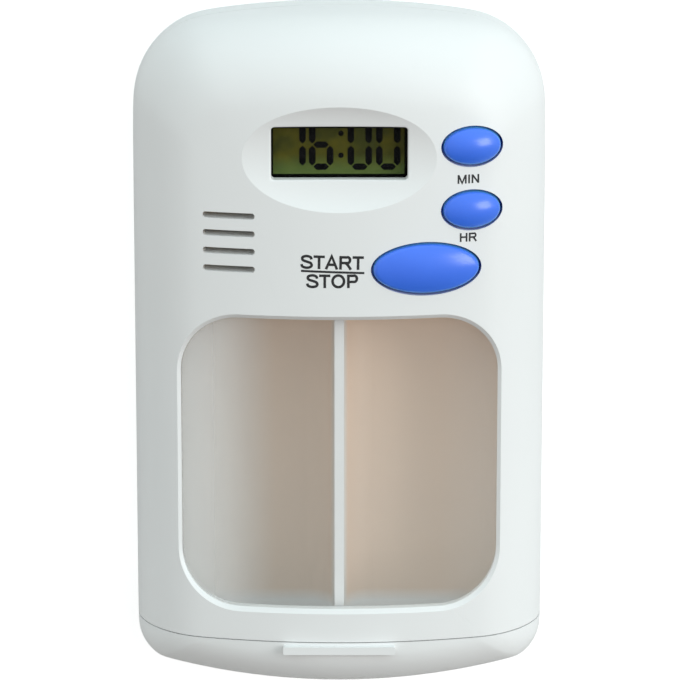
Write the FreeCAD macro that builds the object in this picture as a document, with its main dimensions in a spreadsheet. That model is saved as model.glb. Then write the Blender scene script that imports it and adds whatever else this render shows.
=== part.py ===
import FreeCAD, Part
import math
import os
import re

import Sketcher

# Electronic pill box: a two-compartment drawer under a clear window, with a timer above it.
# It lies on its flat back. +Z is the front, +Y the display end, +X the side with the small buttons.
# The origin is the middle of the back. All sizes are in millimetres.

# Driving dimensions, one spreadsheet row each: name, value, meaning.
SIZES = [
    ("case_width", 57.0, "across the sides"),
    ("case_length", 94.3, "from the drawer end to the display end"),
    ("case_height", 22.5, "back to the crown of the front"),
    ("wall", 1.8, "thickness of both housings"),
    ("crown_radius", 72.0, "curve of the front across the width"),
    ("side_roll", 9.0, "rounding of the front into the sides"),
    ("display_roll", 12.0, "reach of the rounding at the display end"),
    ("display_drop", 10.0, "height of the rounding at the display end"),
    ("drawer_roll", 6.0, "rounding of the front into the drawer end"),
    ("back_round", 3.0, "rounding of the back edge"),
    ("display_corner", 9.9, "plan corner at the display end"),
    ("drawer_corner", 3.6, "plan corner at the drawer end"),
    ("display_bow", 3.4, "how far the display end bulges past its sides"),
    ("drawer_bow", 2.6, "how far the drawer end bulges past its sides"),
    ("parting_height", 7.5, "joint between the front and rear housings"),
    ("parting_gap", 0.1, "shadow line between the housings"),
    ("cap_length", 7.25, "drawer end, from its tip to the seam"),
    ("seam_gap", 0.15, "shadow line between drawer and housings"),
    ("seat_gap", 0.15, "room between a sheet and the ceiling it hangs under"),
    ("flange_thick", 0.9, "rim of the window pane and of each button"),
    ("rib_thick", 1.2, "ribs inside the housings"),
    ("window_width", 43.6, "opening over the compartments"),
    ("window_length", 41.4, "opening over the compartments"),
    ("window_corner", 8.0, "corner of that opening"),
    ("window_low", 4.7, "seam to the lower edge of the opening"),
    ("window_bevel", 0.6, "bevel round the opening"),
    ("pane_recess", 0.8, "pane below the front face"),
    ("pane_gap", 0.1, "pane to the wall of its opening"),
    ("pane_rim", 1.6, "pane's rim beyond the opening"),
    ("drawer_travel", 38.0, "how far the drawer slides out"),
    ("drawer_gap", 0.3, "drawer to the housings on every side"),
    ("tray_wall", 1.3, "walls of the compartments"),
    ("tray_floor", 1.5, "floor of the compartments"),
    ("divider_thick", 1.3, "wall between the compartments"),
    ("trough_round", 4.0, "rounding along the floor and at the drawer end of each compartment"),
    ("trough_corner", 0.6, "rounding at the display end of each compartment"),
    ("stop_x", 14.0, "drawer stops from the middle"),
    ("stop_width", 3.0, "width of a drawer stop"),
    ("stop_length", 1.6, "length of a drawer stop"),
    ("stop_height", 0.8, "height of a drawer stop"),
    ("stop_inset", 3.3, "seam to the near face of a drawer stop"),
    ("stop_gap", 0.2, "groove to the stop that runs in it"),
    ("ledge_width", 15.6, "thumb ledge on the drawer"),
    ("ledge_depth", 1.1, "thumb ledge along the drawer"),
    ("ledge_rise", 0.7, "thumb ledge above the front"),
    ("ledge_root", 1.35, "thumb ledge below the front"),
    ("ledge_corner", 0.25, "corners of the thumb ledge"),
    ("ledge_inset", 0.35, "seam gap to the ledge"),
    ("dish_y", 28.7, "middle of the dish round the display"),
    ("dish_long", 13.3, "half length of the dish"),
    ("dish_wide", 7.4, "half width of the dish"),
    ("dish_depth", 1.9, "depth of the dish"),
    ("dish_steep", 2.5, "height of the ball that hollows it, in depths"),
    ("display_y", 29.27, "middle of the display opening"),
    ("display_width", 18.5, "display opening"),
    ("display_height", 7.35, "display opening"),
    ("display_round", 0.5, "corner of the display opening"),
    ("display_soft", 0.25, "rounding of the display opening's edge"),
    ("lens_thick", 1.0, "display lens"),
    ("lens_rim", 1.5, "lens beyond the display opening"),
    ("lens_top", 19.5, "height of the lens's front face"),
    ("seat_wall", 1.5, "display seat beyond the lens"),
    ("glass_thick", 0.9, "each glass of the display"),
    ("glass_width", 22.0, "display cell"),
    ("glass_height", 10.5, "display cell, front glass"),
    ("glass_ledge", 2.2, "contact ledge of the rear glass"),
    ("reflector_thick", 0.2, "reflector behind the display"),
    ("cell_gap", 0.1, "room round the display cell"),
    ("frame_wall", 1.0, "wall of the display frame"),
    ("strip_width", 1.6, "rubber contact strip"),
    ("board_bottom", 13.0, "height of the board's rear face"),
    ("board_thick", 1.2, "circuit board"),
    ("board_width", 45.0, "circuit board"),
    ("board_low", 10.0, "board's lower edge"),
    ("board_high", 38.2, "board's upper edge"),
    ("board_corner", 3.0, "board's corners"),
    ("board_notch", 0.4, "board to the posts beside it"),
    ("side_button_x", 18.0, "minute and hour buttons"),
    ("minute_y", 30.05, "minute button"),
    ("hour_y", 21.23, "hour button"),
    ("side_button_long", 4.23, "half length of their holes"),
    ("side_button_wide", 2.86, "half width of their holes"),
    ("start_x", 11.83, "start button"),
    ("start_y", 13.3, "start button"),
    ("start_long", 7.55, "half length of its hole"),
    ("start_wide", 3.75, "half width of its hole"),
    ("button_gap", 0.35, "button to its hole"),
    ("button_rim", 0.9, "button's rim beyond its hole"),
    ("button_rise", 1.1, "button's dome above the front"),
    ("button_edge", 0.1, "button's edge above the front"),
    ("dome_depth", 4.0, "front face down to the centre of the dome's ball"),
    ("button_soft", 0.7, "rounding of the button's edge"),
    ("button_travel", 0.5, "press"),
    ("stem_radius", 1.3, "stem under a button"),
    ("stem_gap", 0.05, "stem to the plunger below it"),
    ("switch_size", 4.5, "side of a push switch"),
    ("switch_height", 1.5, "push switch"),
    ("plunger_radius", 1.0, "plunger of a push switch"),
    ("plunger_rise", 0.8, "plunger above its switch"),
    ("plunger_gap", 0.06, "plunger in its switch"),
    ("switch_floor", 0.15, "floor of a push switch"),
    ("slit_x", -15.04, "middle of the sounder slits"),
    ("slit_y", 16.88, "middle of the sounder slits"),
    ("slit_length", 7.1, "sounder slit"),
    ("slit_height", 0.85, "sounder slit"),
    ("slit_corner", 0.38, "rounded ends of a slit"),
    ("slit_pitch", 2.47, "slit to slit"),
    ("sounder_x", -15.5, "sounder disc"),
    ("sounder_y", 16.6, "sounder disc"),
    ("sounder_level", 16.2, "front face of the sounder disc"),
    ("sounder_clear", 0.8, "free height over the brass disc"),
    ("sounder_radius", 5.75, "brass disc"),
    ("ceramic_radius", 4.2, "ceramic disc"),
    ("disc_thick", 0.2, "brass disc"),
    ("ceramic_thick", 0.15, "ceramic disc"),
    ("ring_inner", 5.2, "ring that carries the brass disc"),
    ("ring_outer", 6.6, "ring that carries the brass disc"),
    ("strip_thick", 0.2, "sheet of the contact strips"),
    ("contact_width", 1.2, "sounder contact strip"),
    ("contact_foot", 1.6, "foot and arm of a sounder contact"),
    ("post_x", 20.0, "upper screw posts"),
    ("post_y", 37.5, "upper screw posts"),
    ("lower_post_x", 22.6, "lower screw posts"),
    ("rear_post_radius", 3.0, "posts of the rear housing"),
    ("front_post_radius", 2.2, "posts of the front housing"),
    ("screw_head_radius", 1.9, "housing screw"),
    ("screw_head_height", 1.5, "housing screw"),
    ("screw_radius", 1.1, "housing screw shank"),
    ("screw_sink", 1.5, "back face to the screw head"),
    ("screw_tip", 12.5, "height of the screw's tip"),
    ("screw_fit", 0.05, "screw in its pilot hole"),
    ("pilot_reach", 0.5, "pilot hole past the screw's tip"),
    ("screw_clearance", 0.2, "screw in the rear housing"),
    ("cross_width", 0.5, "cross recess"),
    ("cross_length", 2.2, "cross recess"),
    ("cross_depth", 0.7, "cross recess"),
    ("board_post_radius", 1.6, "posts that carry the board"),
    ("far_post_x", -19.0, "board post beside the display"),
    ("far_post_y", 27.0, "board post beside the display"),
    ("near_post_x", 11.0, "board post between the buttons"),
    ("near_post_y", 20.4, "board post between the buttons"),
    ("low_post_x", -3.0, "board post at the lower edge"),
    ("low_post_y", 12.2, "board post at the lower edge"),
    ("board_screw_radius", 0.7, "board screw shank"),
    ("board_screw_head", 1.4, "board screw head"),
    ("board_screw_height", 0.9, "board screw head"),
    ("board_screw_reach", 2.8, "board screw above the board"),
    ("battery_y", 23.5, "middle of the battery well"),
    ("battery_radius", 5.8, "button cell"),
    ("battery_height", 5.4, "button cell"),
    ("battery_cap_radius", 4.9, "negative cap of a button cell"),
    ("battery_cap_height", 0.4, "negative cap of a button cell"),
    ("battery_gap", 0.3, "cell in its well"),
    ("well_wall", 1.2, "wall of the battery well"),
    ("well_top", 12.6, "top of the battery well"),
    ("door_radius", 8.0, "battery door"),
    ("door_sink", 0.1, "back face to the door"),
    ("door_thick", 0.8, "battery door"),
    ("door_gap", 0.1, "door in the rear housing"),
    ("hub_radius", 6.8, "ring under the door"),
    ("hub_height", 1.7, "ring under the door"),
    ("lug_reach", 0.8, "lugs beyond the ring"),
    ("lug_width", 3.0, "lugs"),
    ("lug_height", 0.7, "lugs"),
    ("coin_length", 10.0, "coin slot"),
    ("coin_width", 1.4, "coin slot"),
    ("coin_depth", 0.45, "coin slot"),
    ("leaf_reach", 3.6, "half length of the contact leaf"),
    ("leaf_width", 3.0, "contact leaf"),
    ("plate_radius", 4.8, "contact plate on the board"),
    ("contact_strip_width", 3.0, "positive contact strip"),
    ("chip_x", -13.0, "timer chip"),
    ("chip_y", 31.0, "timer chip"),
    ("chip_radius", 3.0, "timer chip's blob"),
    ("chip_height", 1.2, "timer chip's blob"),
    ("crystal_x", 13.0, "quartz crystal"),
    ("crystal_y", 31.0, "quartz crystal"),
    ("crystal_radius", 1.0, "quartz crystal"),
    ("crystal_length", 6.0, "quartz crystal"),
    ("lead_radius", 0.15, "crystal's leads"),
    ("chip_part_long", 1.6, "resistor"),
    ("chip_part_wide", 0.8, "resistor"),
    ("chip_part_high", 0.5, "resistor"),
    ("resistor_x", -19.0, "first resistor"),
    ("resistor_rise", 4.0, "board's lower edge to the resistors"),
    ("resistor_pitch", 2.9, "resistor to resistor"),
    ("capacitor_long", 2.0, "capacitor"),
    ("capacitor_wide", 1.25, "capacitor"),
    ("capacitor_high", 0.9, "capacitor"),
    ("capacitor_x", 14.5, "first capacitor"),
    ("capacitor_rise", 5.0, "board's lower edge to the capacitors"),
    ("capacitor_pitch", 3.6, "capacitor to capacitor"),
    ("hook_length", 6.0, "side hooks of the front housing"),
    ("hook_drop", 3.2, "side hooks below the joint"),
    ("hook_inset", 3.0, "side hooks in from the ends of the window"),
    ("overshoot", 1.0, "how far a cutting shape passes what it cuts"),
]

# Places and fits that follow from the driving dimensions.
PLACES = {
    "half_width": "case_width / 2",
    "half_length": "case_length / 2",
    "seam_y": "cap_length - half_length",
    "window_bottom": "seam_y + window_low",
    "window_top": "window_bottom + window_length",
    "window_middle": "window_bottom + window_length / 2",
    "bay_end": "window_top + pane_rim + seat_gap",
    "rib_end": "bay_end + rib_thick",
    "ceiling_inset": "wall + seat_gap",
    "under_inset": "ceiling_inset + flange_thick",
    "tray_inset": "under_inset + drawer_gap",
    "tray_bottom": "wall + drawer_gap",
    "floor_top": "tray_bottom + tray_floor",
    "tray_half": "half_width - tray_inset",
    "tray_end": "bay_end - drawer_gap",
    "guide_near": "tray_half + drawer_gap",
    "guide_far": "half_width - wall / 2",
    "stop_y": "seam_y + stop_inset",
    "board_top": "board_bottom + board_thick",
    "lens_bottom": "lens_top - lens_thick",
    "cell_top": "lens_bottom - cell_gap",
    "rear_glass_top": "cell_top - glass_thick",
    "rear_glass_bottom": "rear_glass_top - glass_thick",
    "reflector_bottom": "rear_glass_bottom - reflector_thick",
    "glass_low": "display_y - glass_height / 2",
    "glass_high": "display_y + glass_height / 2",
    "switch_top": "board_top + switch_height",
    "plunger_top": "switch_top + plunger_rise",
    "stem_bottom": "plunger_top + stem_gap",
    "lower_post_y": "rib_end + rear_post_radius - rib_thick / 2",
    "head_top": "screw_sink + screw_head_height",
    "door_top": "door_sink + door_thick",
    "well_inner": "battery_radius + battery_gap",
    "well_outer": "well_inner + well_wall",
    "lug_bottom": "wall + door_gap",
    "lug_top": "lug_bottom + lug_height",
    "lug_end": "hub_radius + lug_reach",
    "chamber_radius": "lug_end + battery_gap",
    "chamber_top": "lug_top + battery_gap",
    "second_cell": "door_top + battery_height",
    "cells_top": "door_top + battery_height * 2",
    "plate_bottom": "board_bottom - strip_thick",
    "above": "case_height * 2",
    "beyond": "case_length",
}

NAMES = [name for name, _, _ in SIZES]

# How close two places are when they count as the same.
NEAR = 0.01

doc = FreeCAD.newDocument("pill_box")
sheet = doc.addObject("Spreadsheet::Sheet", "Sizes")
for row, (name, size, meaning) in enumerate(SIZES, start=1):
    sheet.set("A%d" % row, name)
    sheet.set("B%d" % row, str(size))
    sheet.set("C%d" % row, meaning)
    sheet.setAlias("B%d" % row, name)
doc.recompute()


def full(text):
    """The expression for a size written with the names above."""

    def swap(match):
        word = match.group(0)
        if word in PLACES:
            return "(" + full(PLACES[word]) + ")"
        if word in NAMES:
            return "Sizes." + word
        return word

    return re.sub(r"[a-z][a-z_]+", swap, str(text))


def value(text):
    """The number that an expression gives with the sheet as it is."""
    return float(sheet.evalExpression(full(text)))


def bind(item, **sizes):
    for prop, text in sizes.items():
        item.setExpression(prop, full(text))
    return item


def place(item, x="0", y="0", z="0"):
    for axis, text in zip("xyz", (x, y, z)):
        item.setExpression("Placement.Base." + axis, full(text))
    return item


def block(name, x, y, z):
    """A box between two values on each axis."""
    item = doc.addObject("Part::Box", name)
    for prop, (low, high) in zip(("Length", "Width", "Height"), (x, y, z)):
        item.setExpression(prop, full("(%s) - (%s)" % (high, low)))
    return place(item, x[0], y[0], z[0])


def rod(name, x, y, z, radius):
    """An upright cylinder between two heights."""
    item = doc.addObject("Part::Cylinder", name)
    bind(item, Radius=radius, Height="(%s) - (%s)" % (z[1], z[0]))
    return place(item, x, y, z[0])


def ball(name, x, y, z, half_x, half_y, half_z):
    """An ellipsoid given by its centre and its three half lengths."""
    item = doc.addObject("Part::Ellipsoid", name)
    bind(item, Radius1=half_z, Radius2=half_x, Radius3=half_y)
    return place(item, x, y, z)


def oval(name, x, y, z, half_x, half_y):
    """An upright elliptic prism, longer along X."""
    line = doc.addObject("Part::Ellipse", name + "_line")
    bind(line, MajorRadius=half_x, MinorRadius=half_y)
    place(line, x, y, z[0])
    item = doc.addObject("Part::Extrusion", name)
    item.Base = line
    item.DirMode = "Custom"
    item.Dir = FreeCAD.Vector(0, 0, 1)
    item.Solid = True
    return bind(item, LengthFwd="(%s) - (%s)" % (z[1], z[0]))


def fuse(name, items):
    item = doc.addObject("Part::MultiFuse", name)
    item.Shapes = items
    return item


def common(name, first, second):
    item = doc.addObject("Part::Common", name)
    item.Base = first
    item.Tool = second
    return item


def cut(name, base, tool):
    item = doc.addObject("Part::Cut", name)
    item.Base = base
    item.Tool = tool
    return item


def group(name, items):
    """Separate solids that share one node."""
    item = doc.addObject("Part::Compound", name)
    item.Links = items
    return item


def origin_plane(body, role):
    for feature in body.Origin.OriginFeatures:
        if feature.Role == role:
            return feature


def plate(name, x, y, z, corner):
    """A padded rectangle with rounded corners."""
    body = doc.addObject("PartDesign::Body", name)
    sketch = body.newObject("Sketcher::SketchObject", name + "_sketch")
    sketch.AttachmentSupport = [(origin_plane(body, "XY_Plane"), "")]
    sketch.MapMode = "FlatFace"
    sketch.setExpression("AttachmentOffset.Base.z", full(z[0]))
    left, right, low, high = (value(text) for text in (x[0], x[1], y[0], y[1]))
    corners = [(left, low), (right, low), (right, high), (left, high)]
    for start, end in zip(corners, corners[1:] + corners[:1]):
        sketch.addGeometry(Part.LineSegment(FreeCAD.Vector(*start, 0), FreeCAD.Vector(*end, 0)))
    for side in range(4):
        sketch.addConstraint(Sketcher.Constraint("Coincident", side, 2, (side + 1) % 4, 1))
    for side, turn in enumerate(("Horizontal", "Vertical", "Horizontal", "Vertical")):
        sketch.addConstraint(Sketcher.Constraint(turn, side))
    for label, turn, side, text in (
        ("left", "DistanceX", 0, x[0]),
        ("right", "DistanceX", 2, x[1]),
        ("low", "DistanceY", 0, y[0]),
        ("high", "DistanceY", 2, y[1]),
    ):
        index = sketch.addConstraint(Sketcher.Constraint(turn, -1, 1, side, 1, value(text)))
        sketch.renameConstraint(index, label)
        sketch.setExpression("Constraints." + label, full(text))
    pad = body.newObject("PartDesign::Pad", name + "_pad")
    pad.Profile = sketch
    bind(pad, Length="(%s) - (%s)" % (z[1], z[0]))
    doc.recompute()
    chosen = ["Edge%d" % n for n, edge in enumerate(pad.Shape.Edges, start=1) if edge.BoundBox.ZLength > NEAR]
    rounding = body.newObject("PartDesign::Fillet", name + "_corners")
    rounding.Base = (pad, chosen)
    bind(rounding, Radius=corner)
    body.Tip = rounding
    return body


def soften(name, item, kind, radius, wanted):
    """Rounds or bevels the edges of item for which wanted(edge) holds."""
    doc.recompute()
    size = value(radius)
    made = doc.addObject("Part::" + kind, name)
    made.Base = item
    made.Edges = [(n, size, size) for n, edge in enumerate(item.Shape.Edges, start=1) if wanted(edge)]
    return made


def front_height(x):
    """Height of the crowned front over a place on the width, clear of the roundings."""
    return "(case_height - (%s) ^ 2 / (2 * crown_radius))" % x


END_STEPS = 5
CORNER_STEPS = 6
SIDE_STEPS = 7
ROLL_STEPS = 7
BACK_STEPS = 3
FACE_SHARES = (0.8, 0.6, 0.4, 0.2, 0.05)

# Corners of the flat middle as a share of the display corner, and the tightest corner as a part of the
# drawer corner.
PLATEAU_SHARE = 0.5
TIGHTEST = 6


def outline(inset, display_corner, drawer_corner, reach=(0.0, 0.0, 0.0)):
    """Plan of the case drawn in by inset: points (x, y, share) once round. share is 1 on the display end,
    -1 on the drawer end and 0 on the sides. reach draws the sides, display end and drawer end in further."""
    side, display, drawer = reach
    half = value("half_width")
    right = half - inset - side
    high = value("half_length") - inset - display
    low = drawer + inset - value("half_length")
    points = []
    for step in range(END_STEPS):
        points.append(((right - drawer_corner) * step / END_STEPS, low, -1.0))
    for step in range(CORNER_STEPS + 1):
        turn = math.pi / 2 * step / CORNER_STEPS
        x = right - drawer_corner * (1 - math.sin(turn))
        y = low + drawer_corner * (1 - math.cos(turn))
        points.append((x, y, step / CORNER_STEPS - 1))
    start, end = low + drawer_corner, high - display_corner
    for step in range(1, SIDE_STEPS):
        points.append((right, start + (end - start) * step / SIDE_STEPS, 0.0))
    for step in range(CORNER_STEPS + 1):
        turn = math.pi / 2 * step / CORNER_STEPS
        x = right - display_corner * (1 - math.cos(turn))
        y = high - display_corner * (1 - math.sin(turn))
        points.append((x, y, step / CORNER_STEPS))
    for step in range(1, END_STEPS + 1):
        points.append(((right - display_corner) * (1 - step / END_STEPS), high, 1.0))
    points += [(-x, y, share) for x, y, share in reversed(points[1:-1])]
    bowed = []
    for x, y, share in points:
        bow = value("display_bow") if y > 0 else -value("drawer_bow")
        bowed.append((x, y - bow * (x / half) ** 2, share))
    return bowed


def case_form(name, inset, floor):
    """The whole case drawn in by inset, as one smooth skin from its floor over the sides to the front.
    The skin's control points lie in closed rings: the back edge, the side, the rounding and the front."""
    inset = value(inset)
    floor = value(floor)
    top = value("case_height") - inset
    back = max(value("back_round") - inset, value("wall") / 2)
    least = value("drawer_corner") / TIGHTEST

    def crown(x):
        return x * x / (2 * value("crown_radius"))

    def drawn_in(more):
        corners = (value("display_corner") - more, value("drawer_corner") - more)
        return outline(more, max(corners[0], least), max(corners[1], least))

    reach = (value("side_roll"), value("display_roll"), value("drawer_roll"))
    plateau = outline(0.0, value("display_corner") * PLATEAU_SHARE, least, reach)
    rim = drawn_in(inset)
    drops = []
    for _, _, share in rim:
        end = value("display_drop") if share > 0 else reach[2]
        drops.append(reach[0] + (end - reach[0]) * abs(share) - inset)

    rings = []
    for step in range(BACK_STEPS + 1):
        turn = math.pi / 2 * step / BACK_STEPS
        z = floor + back * (1 - math.cos(turn))
        rings.append([(x, y, z) for x, y, _ in drawn_in(inset + back * (1 - math.sin(turn)))])
    edge = [top - crown(x) - drop for (x, _, _), drop in zip(rim, drops)]
    for third in (1 / 3, 2 / 3):
        low = floor + back
        rings.append([(x, y, low + (high - low) * third) for (x, y, _), high in zip(rim, edge)])
    for step in range(ROLL_STEPS + 1):
        turn = math.pi / 2 * (1 - step / ROLL_STEPS)
        ring = []
        for (far_x, far_y, _), (x, y, _), drop in zip(rim, plateau, drops):
            x += (far_x - x) * math.sin(turn)
            y += (far_y - y) * math.sin(turn)
            ring.append((x, y, top - crown(x) - drop * (1 - math.cos(turn))))
        rings.append(ring)
    middle = value("window_middle")
    for share in FACE_SHARES:
        ring = [(x * share, middle + (y - middle) * share) for x, y, _ in plateau]
        flat = share == FACE_SHARES[-1]
        rings.append([(x, y, top - (0 if flat else crown(x))) for x, y in ring])

    around, up = len(rim), len(rings)
    poles = [[FreeCAD.Vector(*ring[place]) for ring in rings] for place in range(around)]
    skin = Part.BSplineSurface()
    skin.buildFromPolesMultsKnots(
        poles,
        [1] * (around + 1),
        [4] + [1] * (up - 4) + [4],
        list(range(around + 1)),
        list(range(up - 2)),
        True,
        False,
        3,
        3,
    )
    side = skin.toShape()
    level = [line for line in side.Edges if line.isClosed() and line.BoundBox.ZLength < NEAR]
    lids = [Part.Face(Part.Wire([line])) for line in level]
    shell = Part.makeShell([side] + lids)
    shell.sewShape()
    solid = Part.makeSolid(shell)
    if solid.Volume < 0:
        solid.reverse()
    item = doc.addObject("Part::Feature", name)
    item.Shape = solid
    item.Placement = FreeCAD.Placement()
    return item


BUTTONS = {
    "minute": ("side_button_x", "minute_y", "side_button_long", "side_button_wide"),
    "hour": ("side_button_x", "hour_y", "side_button_long", "side_button_wide"),
    "start": ("start_x", "start_y", "start_long", "start_wide"),
}
POSTS = []
for turned in ("-1", "1"):
    POSTS.append((turned + " * post_x", "post_y"))
    POSTS.append((turned + " * lower_post_x", "lower_post_y"))
BOARD_POSTS = [("far_post_x", "far_post_y"), ("near_post_x", "near_post_y"), ("low_post_x", "low_post_y")]
MIDDLE_BAND = ("-half_width - overshoot", "half_width + overshoot")

outer_form = case_form("outer_form", "0", "0")
wall_form = case_form("wall_form", "wall / 2", "wall / 2")
inner_form = case_form("inner_form", "wall", "wall")
pane_form = case_form("pane_form", "pane_recess", "pane_recess")
ceiling_form = case_form("ceiling_form", "ceiling_inset", "ceiling_inset")
under_form = case_form("under_form", "under_inset", "under_inset")
tray_form = case_form("tray_form", "tray_inset", "tray_bottom")
shell_form = cut("shell_form", outer_form, inner_form)


def front_housing():
    """Crowned front shell with its openings, screw posts, display seat, sounder ring and side hooks."""
    zone = block("front_zone", MIDDLE_BAND, ("seam_y", "beyond"), ("parting_height", "above"))
    shell = common("front_shell", shell_form, zone)
    above_joint = ("parting_height", "above")
    parts = [block("front_rib", MIDDLE_BAND, ("bay_end", "rib_end"), above_joint)]
    for number, (x, y) in enumerate(POSTS):
        parts.append(rod("front_post_%d" % number, x, y, above_joint, "front_post_radius"))
    for number, (x, y) in enumerate(BOARD_POSTS):
        parts.append(rod("board_post_%d" % number, x, y, ("board_top", "above"), "board_post_radius"))
    parts.append(rod("sounder_ring", "sounder_x", "sounder_y", ("sounder_level", "above"), "ring_outer"))
    lens_half = "display_width / 2 + lens_rim + cell_gap"
    lens_tall = "display_height / 2 + lens_rim + cell_gap"
    seat_x = lens_half + " + seat_wall"
    seat_y = lens_tall + " + seat_wall"
    seat = block(
        "display_seat",
        ("-(%s)" % seat_x, seat_x),
        ("display_y - (%s)" % seat_y, "display_y + " + seat_y),
        ("lens_bottom", "above"),
    )
    parts.append(seat)
    inside = common("front_inside", fuse("front_ribs", parts), wall_form)
    hooks = []
    inside_wall = "half_width - wall - cell_gap"
    for end in ("window_bottom + hook_inset", "window_top - hook_inset - hook_length"):
        y = (end, end + " + hook_length")
        z = ("parting_height - hook_drop", "parting_height + hook_drop")
        for x in ("guide_near", inside_wall), ("-(%s)" % inside_wall, "-guide_near"):
            hooks.append(block("hook_%d" % len(hooks), x, y, z))
        z = ("parting_height + cell_gap", "parting_height + hook_drop")
        for x in ("guide_near", "guide_far"), ("-guide_far", "-guide_near"):
            hooks.append(block("hook_%d" % len(hooks), x, y, z))
    solid = fuse("front_solid", [shell, inside] + hooks)

    holes = []
    holes.append(
        plate(
            "window_hole",
            ("-window_width / 2", "window_width / 2"),
            ("window_bottom", "window_top"),
            ("parting_height + wall", "above"),
            "window_corner",
        )
    )
    holes.append(
        plate(
            "display_hole",
            ("-display_width / 2", "display_width / 2"),
            ("display_y - display_height / 2", "display_y + display_height / 2"),
            ("lens_bottom - overshoot", "above"),
            "display_round",
        )
    )
    holes.append(
        block(
            "lens_pocket",
            ("-(%s)" % lens_half, lens_half),
            ("display_y - (%s)" % lens_tall, "display_y + " + lens_tall),
            ("lens_bottom - overshoot", "lens_top + cell_gap / 2"),
        )
    )
    ball_high = "dish_depth * dish_steep"
    long_share = "(dish_depth - dish_long ^ 2 / (2 * crown_radius)) / (%s)" % ball_high
    wide_share = "1 / dish_steep"
    holes.append(
        ball(
            "dish",
            "0",
            "dish_y",
            "case_height - dish_depth + " + ball_high,
            "dish_long / sqrt(1 - (1 - %s) ^ 2)" % long_share,
            "dish_wide / sqrt(1 - (1 - %s) ^ 2)" % wide_share,
            ball_high,
        )
    )
    for name, (x, y, half_x, half_y) in BUTTONS.items():
        holes.append(oval(name + "_hole", x, y, ("parting_height + wall", "above"), half_x, half_y))
    room_z = ("sounder_level - overshoot", "sounder_level + sounder_clear")
    holes.append(rod("sounder_room", "sounder_x", "sounder_y", room_z, "ring_inner"))
    for number in range(4):
        middle = "slit_y + slit_pitch * %g" % (number - 1.5)
        holes.append(
            plate(
                "slit_%d" % number,
                ("slit_x - slit_length / 2", "slit_x + slit_length / 2"),
                (middle + " - slit_height / 2", middle + " + slit_height / 2"),
                ("sounder_level + sounder_clear / 2", "above"),
                "slit_corner",
            )
        )
    for number, (x, y) in enumerate(POSTS):
        z = ("parting_height - overshoot", "screw_tip + pilot_reach")
        holes.append(rod("front_pilot_%d" % number, x, y, z, "screw_radius + screw_fit"))
    for number, (x, y) in enumerate(BOARD_POSTS):
        z = ("board_top - overshoot", "board_top + board_screw_reach + pilot_reach")
        holes.append(rod("board_pilot_%d" % number, x, y, z, "board_screw_radius + screw_fit"))
    open_shell = cut("front_open", solid, fuse("front_holes", holes))

    def on_window_rim(edge):
        box = edge.BoundBox
        half = value("window_width / 2") + NEAR
        inside_width = box.XMin > -half and box.XMax < half
        inside_length = box.YMin > value("window_bottom") - NEAR and box.YMax < value("window_top") + NEAR
        level = box.ZMin > value(front_height("window_width / 2")) - value("wall") / 2
        on_skin = edge.distToShape(outer_form.Shape.Faces[0])[0] < NEAR
        return inside_width and inside_length and level and on_skin

    def on_display_rim(edge):
        box = edge.BoundBox
        half = value("display_width / 2") + NEAR
        inside_width = box.XMin > -half and box.XMax < half
        middle = value("display_y")
        tall = value("display_height / 2") + NEAR
        inside_height = box.YMin > middle - tall and box.YMax < middle + tall
        return inside_width and inside_height and box.ZMin > value("lens_top + display_soft")

    bevelled = soften("window_bevelled", open_shell, "Chamfer", "window_bevel", on_window_rim)
    return soften("front_housing", bevelled, "Fillet", "display_soft", on_display_rim)


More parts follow.
